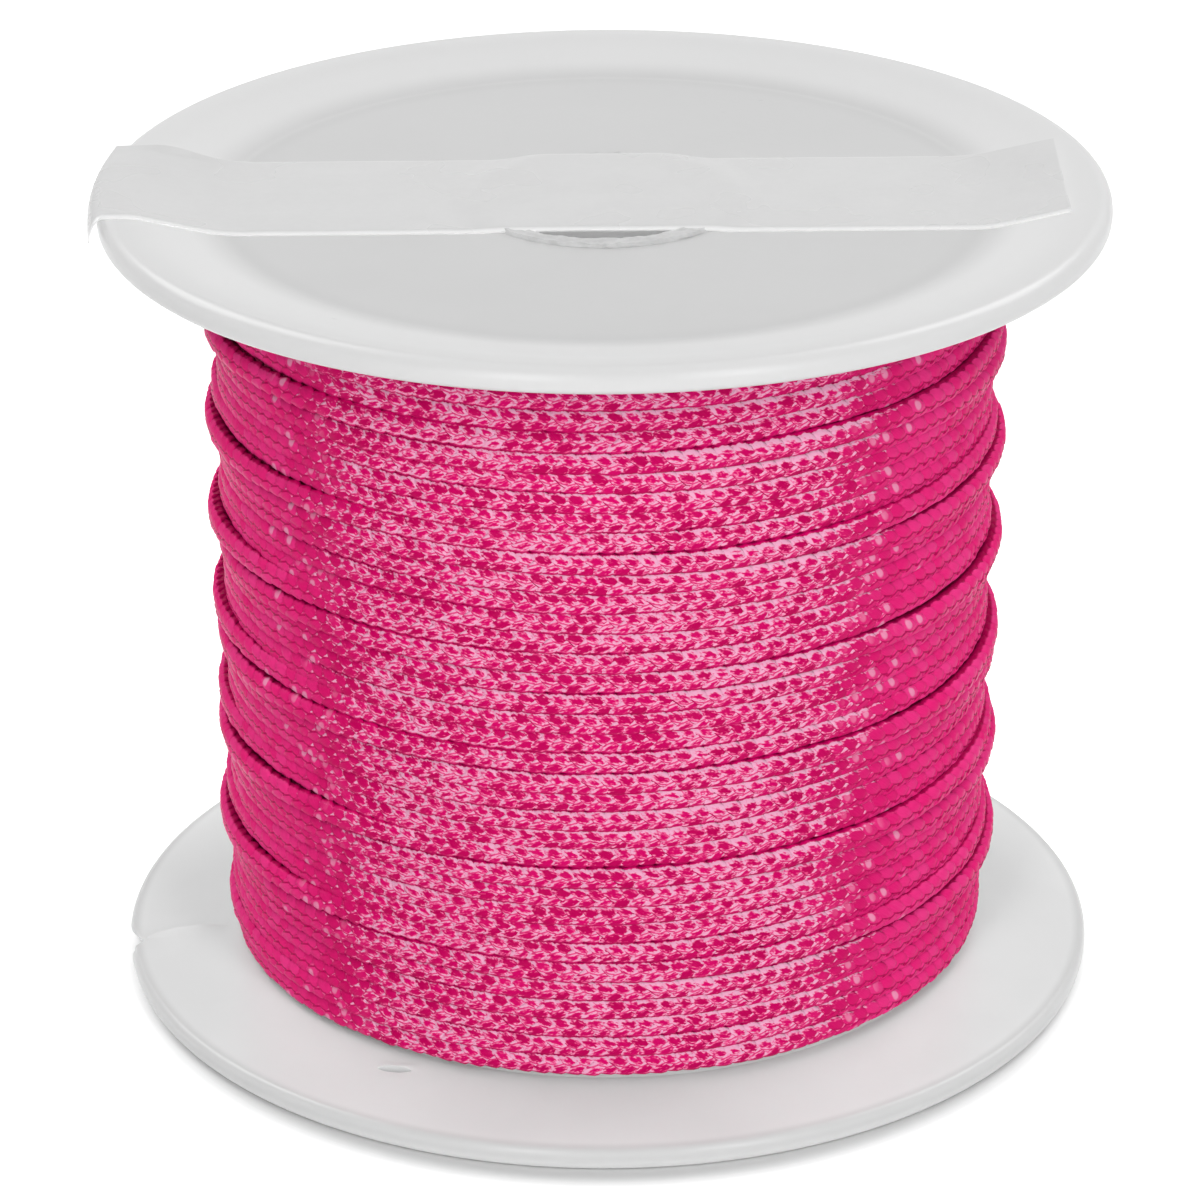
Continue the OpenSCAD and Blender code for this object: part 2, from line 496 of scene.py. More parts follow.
def cutterPrism(name, outline):
    low, high = -1, discTop + 1
    n = len(outline)
    points = [(x, y, low) for x, y in outline] + [(x, y, high) for x, y in outline]
    faces = [tuple(range(n))[::-1], tuple(range(n, 2 * n))]
    faces += [(i, (i + 1) % n, (i + 1) % n + n, i + n) for i in range(n)]
    mesh = newMesh(name, points, faces)
    faceOutwards(mesh)
    return newObject(name, mesh)


def slitCutter():
    radii = np.linspace(notch["slitEnd"], spoolRadius + notch["slitPast"], 28)
    opened = np.clip((radii - notch["slitEnd"]) / notch["slitTaper"] + 0.25, 0, 1)
    half = notch["slitWidth"] / 2 * opened
    outline = []
    for side in (1, -1):
        angles = np.radians(slitAngle(radii)) + side * half / radii
        edge = list(zip(radii * np.cos(angles), radii * np.sin(angles)))
        outline += edge if side > 0 else edge[::-1]
    return cutterPrism("slitCutter", outline)


def eyeletCutter():
    turn, place = math.radians(eyelet["skew"]), math.radians(eyelet["angle"])
    outline = []
    for t in np.linspace(0, 2 * math.pi, 28, endpoint=False):
        along = eyelet["length"] / 2 * math.cos(t)
        across = eyelet["width"] / 2 * math.sin(t) * abs(math.sin(t)) ** eyelet["endCurve"]
        x = eyelet["radius"] * math.cos(place) + along * math.cos(turn) - across * math.sin(turn)
        y = eyelet["radius"] * math.sin(place) + along * math.sin(turn) + across * math.cos(turn)
        outline.append((x, y))
    return cutterPrism("eyeletCutter", outline)


def makeFlange(name, upper):
    section = np.array(flangeSection())
    degrees = np.arange(0, 360, flange["columnStep"])
    if not upper:
        close = [np.arange(*hole["closeColumns"], flange["closeStep"]) for hole in (notch, eyelet)]
        degrees = np.unique(np.round(np.concatenate([degrees, *close]), 3))
    radius = np.tile(section[:, 0], (len(degrees), 1))
    depth = np.tile(section[:, 1], (len(degrees), 1))
    around = np.repeat(degrees[:, None], section.shape[0], 1)
    if not upper:
        radius = drawInNotch(radius, around, depth)
    x, y = radius * np.cos(np.radians(around)), radius * np.sin(np.radians(around))
    if upper:
        z = spoolHeight - depth
    else:
        lifted = (lipLift(radius, around) + eyeletLift(x, y)) * (radius < lipsWithin)
        z = np.maximum(depth + lifted, 0)
    mesh = newMesh(name, np.stack([x, y, z], 2).reshape(-1, 3), ringFaces(*radius.shape))
    faceOutwards(mesh)
    piece = newObject(name, mesh)
    if not upper:
        for cutter in (slitCutter(), eyeletCutter()):
            cut = piece.modifiers.new("cut", "BOOLEAN")
            cut.object = cutter
            cut.operation = "DIFFERENCE"
            cut.solver = "EXACT"
            mesh = bakeModifiers(piece)
            bpy.data.objects.remove(cutter)
    smoothShade(mesh, flange["sharpAngle"])
    return piece


plasticLook = {  # tones are greys, places are metres
    # the two flanges are one plastic; the lower is painted lighter and the upper darker for how the light
    # falls on each
    "lowerPaintedLightTones": (0.9, 0.93),
    "upperPaintedShadeTones": (0.645, 0.665),
    "change": (0.02, 0.04),  # heights between which the lower tones give way to the upper
    "footShadeTone": 0.6,
    "foot": (0.0206, 0.0217, 0.0222),  # radii where the painted shade ring in the fillet at the slope's foot starts, peaks, ends
    "slopeLitTone": 0.8,  # painted light: the top's slope is thinner, and is painted lighter for the light that shines through it
    "slope": (0.0217, 0.0243, 0.0252, 0.0285),  # radii where that starts, is full, fades and ends
    "slopeLitHeight": (0.0469, 0.0471),
    # painted light and shade on the rims' outer walls
    "wall": (0.0281, 0.0288),
    "upperWallPaintedTone": 0.79,
    "lowerWallPaintedTones": (1.0, 0.73),  # from the floor up: painted light at the shaded foot, painted shade higher up where the lamps face it
    "lowerWallPaintedHeight": (0.0002, 0.001),
    "speckTone": (0.42, 0.42, 0.43),
    "speckSize": (0.03, 0.1),
    "speckAbove": 0.88,  # the share of cells without a speck
}


def plasticMaterial():
    p = plasticLook
    material, tree = newMaterial("pale polypropylene")
    place = objectPlace(tree)
    cloud = cloudsAt(place, 110.0, 3.0)
    grain = cloudsAt(place, 2600.0, 2.0)
    swirl = cloudsAt(place, 380.0, 4.0)
    specks = Wire.node(tree, "ShaderNodeTexVoronoi", {}, {"Vector": place, "Scale": 420.0, "Randomness": 1.0})
    anyValue = Wire.node(tree, "ShaderNodeSeparateColor", {}, {"Color": specks.other("Color")})
    dots = (1 - specks.band(*p["speckSize"])) * (anyValue > p["speckAbove"])
    radius, height = axisDistance(place), place.part("Z")
    upper = height.band(*p["change"])
    mottle = cloud.band(0.3, 0.7)
    # painted light and shade: the flanges' tones split by height
    tones = [mottle.blend(grey(low), grey(high)) for low, high in (p["lowerPaintedLightTones"], p["upperPaintedShadeTones"])]
    colour = upper.blend(*tones)
    # painted shade in the fillet at the upper dish's foot
    foot = radius.band(*p["foot"][:2]) * (1 - radius.band(*p["foot"][1:]))
    colour = (foot * upper * 0.4).blend(colour, grey(p["footShadeTone"]))
    # painted light on the upper flange's slope
    slope = radius.band(*p["slope"][:2]) * (1 - radius.band(*p["slope"][2:]) * 0.3)
    colour = (slope * height.band(*p["slopeLitHeight"])).blend(colour, grey(p["slopeLitTone"]))
    # painted light and shade on the outer walls
    lowerWallPaintedTones = height.band(*p["lowerWallPaintedHeight"]).blend(*[grey(tone) for tone in p["lowerWallPaintedTones"]])
    colour = radius.band(*p["wall"]).blend(colour, upper.blend(lowerWallPaintedTones, grey(p["upperWallPaintedTone"])))
    colour = (dots * 0.3).blend(colour, p["speckTone"])
    bumps = relief(grain * 0.4 + swirl * 0.6, 0.25, 0.00006)
    closeMaterial(tree, plasticShader(tree, colour, cloud * 0.14 + 0.24, bumps, 0.2, 0.0012))
    return material


plastic = plasticMaterial()
lowerFlange = makeFlange("lowerFlangeMoulding", False)
upperFlange = makeFlange("upperFlangeMoulding", True)
for piece, node in ((lowerFlange, "lower_flange"), (upperFlange, "upper_flange")):
    piece.data.materials.append(plastic)
    hangOn(piece, "flange_plastic", node)
print("flanges:", len(lowerFlange.data.polygons), "and", len(upperFlange.data.polygons), "faces")


# hub
hub = {
    "bore": 6.6,
    "seatRadius": 7.4,
    "seatBevel": 0.4,
    "stakeRadius": 7.8,
    "stakeDrop": 0.12,
    "stakeDraw": (0.02, 0.125),  # how far its side leans in, at the drop and at the top
    "lipHeight": 0.25,  # of the turned-over end above the dish
    "leadIn": 0.2,
    "roughness": 0.09,
    "sunk": 0.35,  # share of the roughness that the end stands lower by
    "endDepth": 1.3,  # the points stand close this far in from each end
    "spacings": (0.14, 3.0),
    "columns": 220,
    "seed": 5,
    "sharpAngle": 40,
}


def makeHub():
    dish = flange["dishDepth"]
    top = dish - hub["lipHeight"]
    seat, stake, bore, leadIn = hub["seatRadius"], hub["stakeRadius"], hub["bore"], hub["leadIn"]
    sideDraw, topDraw = hub["stakeDraw"]
    low = [(hubRadius, discTop), (seat, discTop), (seat, dish + hub["seatBevel"]), (stake, dish)]
    low += [(stake - sideDraw, dish - hub["stakeDrop"]), (stake - topDraw, top)]
    low += [(bore + leadIn, top), (bore, top + leadIn)]
    loop = low + [(radius, spoolHeight - z) for radius, z in low[::-1]]
    fine, coarse = hub["spacings"]

    def spacing(point):
        return fine if min(point[1], spoolHeight - point[1]) < hub["endDepth"] else coarse

    section = closerPoints(loop, spacing)
    points = []
    for i in range(hub["columns"]):
        angle = 2 * math.pi * i / hub["columns"]
        for radius, z in section:
            if min(z, spoolHeight - z) < dish - 0.01:
                x, y = radius * math.cos(angle), radius * math.sin(angle)
                side = 1 if z > spoolHeight / 2 else -1
                radius += hub["roughness"] * wander(x * 1.7, y * 1.7, z, hub["seed"])
                raised = wander(x * 2.3, y * 2.3, z, hub["seed"] + 1) - hub["sunk"]
                z += side * hub["roughness"] * raised
            radius = max(radius, bore)
            points.append((radius * math.cos(angle), radius * math.sin(angle), z))
    return closedPiece("hubTurnedOver", points, ringFaces(hub["columns"], len(section)), hub["sharpAngle"])


def hubMaterial():
    material, tree = newMaterial("rough polypropylene")
    place = objectPlace(tree)
    chips = cloudsAt(place, 1700.0, 4.0)
    colour = chips.band(0.35, 0.65).blend(grey(0.6), grey(0.68))
    colour = axisDistance(place).band(0.0067, 0.0069).blend(grey(0.88), colour)  # the bore is painted lighter against the shade inside it
    bumps = relief(chips, 0.3, 0.00006)
    closeMaterial(tree, plasticShader(tree, colour, chips * 0.3 + 0.22, bumps, 0.1, 0.001))
    return material


hubPiece = makeHub()
hubPiece.data.materials.append(hubMaterial())
hangOn(hubPiece, "hub_plastic", "hub_tube")
print("hub:", len(hubPiece.data.polygons), "faces")


# winding
winding = {
    "cord": 1.2,
    "turns": 36,
    "seat": 21.93,  # radius of the cord's centre where it lies on the turns below
    "firstZ": 2.62,
    "lastZ": 45.68,
    "startAngle": 118,  # degrees, at the back
    "stitchesPerTurn": 146.7,
    "endDive": 22,  # degrees over which the cord goes in at each end
    "endSink": 1.03,
    "endShift": 0.4,  # along the spool while it goes in
    "calmEnds": 3,  # height at each end over which the wandering starts
    "ridgeLead": 6.28,  # height between the crossings of the layer below
    "ridgeStart": 39.1,
    "ridgeTilt": 0.55,
    "ridgeWidth": 1.8,
    "ridgeFront": 0.08,
    "ridgeSide": 0.72,
    "gapFront": 0.02,
    "gapSide": 0.2,
    "drift": 0.176,
    "unevenness": 0.05,
    "roll": 46.5,  # degrees that the braid is turned about its own middle
    "rollSwing": 12,
    "rollPhase": 20,
    "rollWander": 20,
    "bands": 7,
    "seed": 11,
    "pressedOut": 0.58,  # half the cord's thickness and height where the turns press it square
    "pressedUp": 0.7,
    "squareness": 2.8,
}

stitch = {
    "spacing": 0.95,
    "halfTurn": 62,  # degrees round the cord on each side of its column's middle
    "halfLength": 0.654,
    "halfWidth": 0.4,
    "halfThickness": 0.2,
    "section": [(-1.0, -0.1), (-0.84, 0.62), (-0.4, 0.94), (0.4, 0.94),
                (0.84, 0.62), (1.0, -0.1), (0.0, -0.9)],  # in half widths and half thicknesses
    "dive": 0.2,
    "diveCurve": 2.4,
    "narrowing": 0.25,  # of its ends
    "swell": (0.95, 1.06),  # least and most size of a stitch
    "lensShift": 0.41,  # of the dark middle of a stitch, left bare by the painted highlight net, towards the cord's outer face
    "lensSlant": 0.8,
    "rings": 7,
    "coreRadius": 0.5,
    "hidden": -0.37,  # stitches that face the winding's inside further than this are left out
}


def windingPath():
    w = winding
    rows = int(w["turns"] * w["stitchesPerTurn"]) + 1
    turn = np.arange(rows) / w["stitchesPerTurn"]
    theta = math.radians(w["startAngle"]) + 2 * math.pi * turn
    x, y = np.cos(theta), np.sin(theta)
    azimuth = theta + math.pi / 2
    steady = w["firstZ"] + (w["lastZ"] - w["firstZ"]) * turn / w["turns"]
    slowly = np.array([wander(1.3 * a, 1.3 * b, 0.42 * z, w["seed"]) for a, b, z in zip(x, y, steady)])
    hold = ease((steady - w["firstZ"]) / w["calmEnds"]) * ease((w["lastZ"] - steady) / w["calmEnds"])
    z = steady + w["drift"] * slowly * hold
    wrapped = np.mod(theta, 2 * math.pi)
    ridge = w["ridgeStart"] - w["ridgeLead"] * wrapped / (2 * math.pi) + w["ridgeTilt"] * np.cos(theta)
    count = np.round((z - ridge) / w["ridgeLead"])
    away = np.clip((z - ridge - count * w["ridgeLead"]) / w["ridgeWidth"], -1, 1) * math.pi
    height = w["ridgeFront"] + w["ridgeSide"] * np.sin(azimuth) ** 2
    radius = w["seat"] + height * (0.5 + 0.5 * np.cos(away)) * hold
    gap = w["gapFront"] + w["gapSide"] * np.sin(azimuth) ** 2
    z = z + gap * np.sin(away) * hold
    fine = np.array([wander(4.1 * a, 4.1 * b, 1.9 * s, w["seed"] + 2) for a, b, s in zip(x, y, steady)])
    radius = radius + w["unevenness"] * fine * hold
    span = w["endDive"] / 360
    for gone, direction in ((turn, 1), (turn[-1] - turn, -1)):
        dive = 1 - ease(gone / span)
        radius = radius - w["endSink"] * dive
        z = z + direction * w["endShift"] * dive
    points = np.stack([radius * x, radius * y, z], 1)
    tangent = np.gradient(points, axis=0)
    tangent /= np.linalg.norm(tangent, axis=1)[:, None]
    outward = np.stack([x, y, np.zeros(rows)], 1)
    swung = w["rollSwing"] * np.sin(2 * azimuth - math.radians(w["rollPhase"]))
    turned = w["rollWander"] * np.array([wander(0.03 * i, 0.3, 0.7, w["seed"] + 4) for i in range(rows)])
    roll = np.radians(w["roll"] + swung + turned)
    return points, tangent, outward, roll


def stitchMesh(name, hand):
    s = stitch
    sides = len(s["section"])
    centre = winding["cord"] / 2 - s["halfThickness"]
    points, across, side, cell = [], [], [], []
    for t in np.linspace(-1, 1, s["rings"]):
        angle = math.radians(s["halfTurn"]) * t
        dive = s["dive"] * abs(t) ** s["diveCurve"]
        normal = Vector((0, math.sin(angle), math.cos(angle)))
        middle = normal * (centre - dive) + Vector((hand * t * s["halfLength"], 0, 0))
        forward = Vector((hand * s["halfLength"], math.cos(angle) * centre, -math.sin(angle) * centre))
        sideways = forward.normalized().cross(normal).normalized()
        narrow = 1 - s["narrowing"] * t ** 4
        for a, b in s["section"]:
            point = middle + sideways * a * s["halfWidth"] * narrow + normal * b * s["halfThickness"]
            turned = math.atan2(point.y, point.z) / math.radians(45)
            lengthwise = point.x * 2 / s["spacing"] - s["lensSlant"] * hand * turned
            points.append(point)
            across.append(a)
            side.append(turned)
            cell.append((lengthwise, turned - hand * s["lensShift"], t))
    faces = []
    for i in range(s["rings"] - 1):
        for k in range(sides):
            m = (k + 1) % sides
            faces.append((i * sides + k, (i + 1) * sides + k, (i + 1) * sides + m, i * sides + m))
    faces += [tuple(range(sides)), tuple(range((s["rings"] - 1) * sides, s["rings"] * sides))[::-1]]
    mesh = newMesh(name, [tuple(p) for p in points], faces, {"across": across, "side": side, "cell": cell})
    faceOutwards(mesh)
    mesh.shade_smooth()
    return newObject(name, mesh)


def braidTree():
    tree = bpy.data.node_groups.new("braided cord", "GeometryNodeTree")
    names = {}
    for name, kind in (("Path", "NodeSocketGeometry"), ("Right Stitch", "NodeSocketObject"),
                       ("Left Stitch", "NodeSocketObject"), ("Stitch Spacing", "NodeSocketFloat"),
                       ("Core Radius", "NodeSocketFloat"), ("Hidden Below", "NodeSocketFloat"),
                       ("Seed", "NodeSocketInt"), ("Material", "NodeSocketMaterial")):
        names[name] = tree.interface.new_socket(name, in_out="INPUT", socket_type=kind).identifier
    tree.interface.new_socket("Cord", in_out="OUTPUT", socket_type="NodeSocketGeometry")
    given = Wire.node(tree, "NodeGroupInput")
    path = given.other("Path")

    def stored(name, kind):
        return Wire.node(tree, "GeometryNodeInputNamedAttribute", {"data_type": kind}, {"Name": name})

    def anyBetween(low, high, seed):
        return Wire.node(tree, "FunctionNodeRandomValue", {"data_type": "FLOAT"},
                         {2: low, 3: high, 8: seed}, 1)

    tangent, outward = stored("tangent", "FLOAT_VECTOR"), stored("outward", "FLOAT_VECTOR")
    roll = stored("roll", "FLOAT")
    facing = Wire.node(tree, "FunctionNodeAxesToRotation", {"primary_axis": "X", "secondary_axis": "Z"},
                       {"Primary Axis": tangent, "Secondary Axis": outward})
    parts = []
    for column in range(4):
        turned = roll + column * math.pi / 2
        euler = Wire.node(tree, "ShaderNodeCombineXYZ", {}, {"X": turned})
        rotation = Wire.node(tree, "FunctionNodeRotateRotation", {"rotation_space": "LOCAL"}, {
            "Rotation": facing,
            "Rotate By": Wire.node(tree, "FunctionNodeEulerToRotation", {}, {"Euler": euler}),
        })
        odd = column % 2
        shifted = path
        if odd:
            step = Wire.node(tree, "ShaderNodeVectorMath", {"operation": "SCALE"},
                             {"Vector": tangent, "Scale": given.other("Stitch Spacing") * 0.5})
            shifted = Wire.node(tree, "GeometryNodeSetPosition", {}, {"Geometry": path, "Offset": step})
        seed = given.other("Seed") + column
        swell = anyBetween(*stitch["swell"], seed)
        shade = anyBetween(0.0, 1.0, seed + 10)
        shape = Wire.node(tree, "GeometryNodeObjectInfo", {},
                          {"Object": given.other("Left Stitch" if odd else "Right Stitch"),
                           "As Instance": True}, "Geometry")
        placed = Wire.node(tree, "GeometryNodeInstanceOnPoints", {}, {
            "Points": shifted,
            "Selection": turned.combine("COSINE", turned) > given.other("Hidden Below"),
            "Instance": shape,
            "Rotation": rotation,
            "Scale": vectorOf(swell, swell, swell),
        })
        parts.append(Wire.node(tree, "GeometryNodeStoreNamedAttribute",
                               {"data_type": "FLOAT", "domain": "INSTANCE"},
                               {"Geometry": placed, "Name": "shade", "Value": shade}))
    profile = Wire.node(tree, "GeometryNodeCurvePrimitiveCircle", {},
                        {"Resolution": 8, "Radius": given.other("Core Radius")})
    spine = Wire.node(tree, "GeometryNodeMeshToCurve", {}, {"Mesh": path})
    core = Wire.node(tree, "GeometryNodeCurveToMesh", {},
                     {"Curve": spine, "Profile Curve": profile, "Fill Caps": True})
    core = Wire.node(tree, "GeometryNodeStoreNamedAttribute",
                     {"data_type": "FLOAT_VECTOR", "domain": "POINT"},
                     {"Geometry": core, "Name": "cell", "Value": (2.5, 2.5, 1.3)})
    joined = Wire.node(tree, "GeometryNodeJoinGeometry")
    target = joined.socket.node.inputs[0]
    for part in [core] + parts:
        tree.links.new(part.socket, target)
    real = Wire.node(tree, "GeometryNodeRealizeInstances", {}, {"Geometry": joined})
    painted = Wire.node(tree, "GeometryNodeSetMaterial", {},
                        {"Geometry": real, "Material": given.other("Material")})
    Wire.node(tree, "NodeGroupOutput", {}, {"Cord": painted})
    return tree, names


cordLook = {  # painted sheen: the tones follow how far the winding turns from the eye; seam shade and gap each hold the tone turned away from the eye, then the tone facing it
    "bounce": 0.72,
    "sheen": (0.28, 0.57),
    "awaySheenTones": ((0.9, 0.012, 0.19), (0.97, 0.05, 0.28)),  # of the darker and the lighter stitches
    "facingSheenTones": ((0.53, 0.001, 0.09), (0.82, 0.003, 0.165)),
    "seamShade": ((0.45, 0.001, 0.075), (0.72, 0.002, 0.14)),
    "seamWidth": (0.09, 0.23),
    "seamSwing": 0.45,
    # painted light and shade down between the turns: lighter where the winding faces the eye, darker where it
    # turns away
    "gap": ((0.45, 0.001, 0.075), (0.95, 0.001, 0.17)),
    "gapHeight": (0.00015, 0.0003),  # metres out of the cord's middle
    # the pale net is a painted highlight
    "highlightNetHeight": (0.00026, 0.00036),
    "highlightNetTones": ((0.95, 0.1, 0.31), (1.0, 0.46, 0.67)),
    "glintTone": (0.98, 0.38, 0.58),
}


def calmBounce(tree, shader):  # light that the cord throws on its neighbours is nearly neutral
    bounce = Wire.node(tree, "ShaderNodeLightPath", output="Is Diffuse Ray")
    plain = Wire.node(tree, "ShaderNodeBsdfDiffuse", {}, {"Color": (*grey(cordLook["bounce"]), 1)})
    return Wire.node(tree, "ShaderNodeMixShader", {}, {0: bounce, 1: shader, 2: plain})


def facingSheen(tree, place, uneven):  # how far a place is turned from the eye, and the painted sheen there
    flat = place * (1.0, 1.0, 0.0)
    sideways = flat.combine("CROSS_PRODUCT", flat, (0, 0, -0.06))
    outward = flat.combine("NORMALIZE", flat + sideways)
    turned = Wire.node(tree, "ShaderNodeLayerWeight", {}, {"Blend": 0.5, "Normal": outward}, "Facing")
    return turned, 1 - (turned + uneven * 0.1).band(*cordLook["sheen"])


def cordMaterial():
    c = cordLook
    material, tree = newMaterial("pink braided nylon")
    across, side, shade = [attribute(tree, name) for name in ("across", "side", "shade")]
    lengthwise = attribute(tree, "cell", "Vector").part("X")
    aroundCord, along = lengthwise.other("Y"), lengthwise.other("Z")
    place = objectPlace(tree)
    lean = Wire.node(tree, "ShaderNodeTexCoord", output="Normal").part("Z")
    proud = axisDistance(place) - axisDistance(attribute(tree, "middle", "Vector"))
    uneven = cloudsAt(place, 330.0, 2.0)
    turned, sheen = facingSheen(tree, place, uneven)
    filaments = cloudsAt(vectorOf(along * 0.7, across * 6.0, shade * 50.0), 1.7, 3.0)
    broken = cloudsAt(vectorOf(lengthwise, aroundCord * 1.8, shade * 37.0), 1.9, 1.0)

    # painted highlight: a pale net of painted sheen lies outside a dark lens in the middle of each stitch
    lens = (lengthwise * lengthwise * 1.2 + aroundCord * aroundCord * 3.2) ** 0.5 + (broken - 0.5) * 2.2
    lens = lens + sheen * 1.5 - 1.5 + (shade - 0.5) * 0.4 + (uneven - 0.5) * 0.9
    pale = (lens - abs(across).band(0.75, 1.0) * 0.4 - abs(along).band(0.7, 1.0)).band(0.4, 1.35)

    # painted shade along the zigzag seam where two columns of stitches meet
    bulge = 0.5 - (1 - abs(1 - abs(lengthwise)))
    seamShade = 1 - abs(abs(side) - 1 - bulge * c["seamSwing"]).band(*c["seamWidth"])

    strands = across * 5.4 + broken * 4.0 + shade * 3.0
    pale = pale * (abs(strands.combine("SINE", strands)).band(0.0, 0.6) * 0.35 + 0.65)
    pale = pale * proud.band(*c["highlightNetHeight"]) * (filaments * 0.4 + 0.8)  # none down between the turns
    pale = pale * (1 - seamShade * 0.7)
    pale = pale * lean.band(-0.62, -0.3) * (1 - lean.band(0.8, 0.97)) * sheen.band(0.0, 0.3)
    # painted glints on single stitches in the fringe where the winding turns from the eye
    middling = 1 - (along * along * 4.0 + across * across * 1.3).band(0.15, 0.55)
    shining = (shade ** 3.0 * 0.3 + 0.28 - turned).band(-0.02, 0.02)
    glint = middling * shining * (1 - sheen.band(0.4, 0.8))

    tone = (shade * 0.5 + filaments * 0.6).band(0.1, 0.95)
    # painted sheen: darker stitches where the winding faces the eye, lighter where it turns away
    base = sheen.blend(tone.blend(*c["awaySheenTones"]), tone.blend(*c["facingSheenTones"]))
    # painted shade in the seam
    base = (seamShade * 0.9).blend(base, sheen.blend(*c["seamShade"]))
    # painted light and shade in the gaps between turns
    base = proud.band(*c["gapHeight"]).blend(sheen.blend(*c["gap"]), base)
    # painted glints
    base = (glint * 0.8).blend(base, c["glintTone"])
    # the painted highlight net goes on last
    for reach, colour in zip(((0.0, 0.4), (0.3, 0.85)), c["highlightNetTones"]):
        base = pale.band(*reach).blend(base, colour)
    shader = Wire.node(tree, "ShaderNodeBsdfPrincipled", {}, {
        "Base Color": base,
        "Roughness": filaments * 0.15 + 0.25,
        "IOR": 1.1,
        "Normal": relief(filaments, 0.4, 0.00002),
    })
    closeMaterial(tree, calmBounce(tree, shader))
    return material


def makeWinding():
    material = cordMaterial()
    tree, names = braidTree()
    rightStitch, leftStitch = stitchMesh("rightStitch", 1), stitchMesh("leftStitch", -1)
    points, tangent, outward, roll = windingPath()
    cuts = np.linspace(0, len(points) - 1, winding["bands"] + 1).astype(int)
    columns = {"tangent": tangent, "outward": outward, "middle": points * mm, "roll": roll}
    pieces = []
    for i, (first, last) in enumerate(zip(cuts[:-1], cuts[1:])):
        rows = slice(first, last + 1)
        mesh = bpy.data.meshes.new(f"cordTurns{i + 1}")
        edges = [(k, k + 1) for k in range(last - first)]
        mesh.from_pydata((points[rows] * mm).tolist(), edges, [])
        for label, column in columns.items():
            flat = column.ndim == 1
            layer = mesh.attributes.new(label, "FLOAT" if flat else "FLOAT_VECTOR", "POINT")
            layer.data.foreach_set("value" if flat else "vector", column[rows].astype(np.float32).ravel())
        piece = newObject(mesh.name, mesh)
        live = piece.modifiers.new("braid", "NODES")
        live.node_group = tree
        live[names["Right Stitch"]] = rightStitch
        live[names["Left Stitch"]] = leftStitch
        live[names["Stitch Spacing"]] = stitch["spacing"] * mm
        live[names["Core Radius"]] = stitch["coreRadius"] * mm
        live[names["Hidden Below"]] = stitch["hidden"]
        live[names["Seed"]] = winding["seed"] + 20 * i
        live[names["Material"]] = material
        pieces.append(piece)
    for piece in pieces:
        plain = bakeModifiers(piece)
        pressCord(plain)
        plain.shade_smooth()
    for helper in (rightStitch, leftStitch):
        bpy.data.objects.remove(helper)
    return pieces


def pressCord(mesh):  # the round braid takes the squarer section that tight turns give it
    def column(name):
        values = np.empty(len(mesh.vertices) * 3, dtype=np.float32)
        mesh.attributes[name].data.foreach_get("vector", values)
        return values.reshape(-1, 3)

    place, middle, outward, tangent = (column(name) for name in ("position", "middle", "outward", "tangent"))
    upward = np.cross(outward, tangent)
    offset = place - middle
    out, up, along = ((offset * axis).sum(1)[:, None] for axis in (outward, upward, tangent))
    around = np.arctan2(up, out)
    n = winding["squareness"]
    reach = (np.abs(np.cos(around) / winding["pressedOut"]) ** n
             + np.abs(np.sin(around) / winding["pressedUp"]) ** n) ** (-1 / n)
    scale = reach / (winding["cord"] / 2)
    place = middle + (out * outward + up * upward) * scale + along * tangent
    mesh.attributes["position"].data.foreach_set("vector", place.astype(np.float32).ravel())
    mesh.update()


underLayers = {
    "clearance": 0.02,  # from the flanges
    "waveDepth": 0.3,
    "sunk": 0.32,  # of the waves' feet inside the CAD ring's outer radius
    "hubClearance": 0.05,
    "rows": 296,
    "columns": 180,
    "sharpAngle": 40,
}


def makeUnderWinding():
    u = underLayers
    low, high = discTop + u["clearance"], spoolHeight - discTop - u["clearance"]
    rows = np.linspace(low, high, u["rows"])
    radii = coreRadius - u["sunk"] + u["waveDepth"] * np.abs(np.sin(np.pi * (rows - low) / winding["cord"]))
    inside = hubRadius + u["hubClearance"]
    section = [(inside, low)] + list(zip(radii, rows)) + [(inside, high)]
    points = []
    for i in range(u["columns"]):
        angle = 2 * math.pi * i / u["columns"]
        points += [(r * math.cos(angle), r * math.sin(angle), z) for r, z in section]
    return closedPiece("underWinding", points, ringFaces(u["columns"], len(section)), u["sharpAngle"])


def underMaterial():
    material, tree = newMaterial("pink layers below")
    fleck = cloudsAt(objectPlace(tree), 1100.0, 3.0)
    colour = fleck.band(0.3, 0.7).blend((0.7, 0.002, 0.12), (0.85, 0.005, 0.17))
    bumps = relief(fleck, 0.6, 0.0002)
    shader = Wire.node(tree, "ShaderNodeBsdfPrincipled", {},
                       {"Base Color": colour, "Roughness": fleck * 0.2 + 0.5, "Normal": bumps})
    closeMaterial(tree, calmBounce(tree, shader))
    return material


cordPieces = makeWinding()
for piece in cordPieces:
    hangOn(piece, "braided_line", "outer_cord_layer")
underWinding = makeUnderWinding()
underWinding.data.materials.append(underMaterial())
hangOn(underWinding, "braided_line", "inner_cord_layers")
print("winding:", len(cordPieces), "bands of", len(cordPieces[0].data.polygons), "faces")


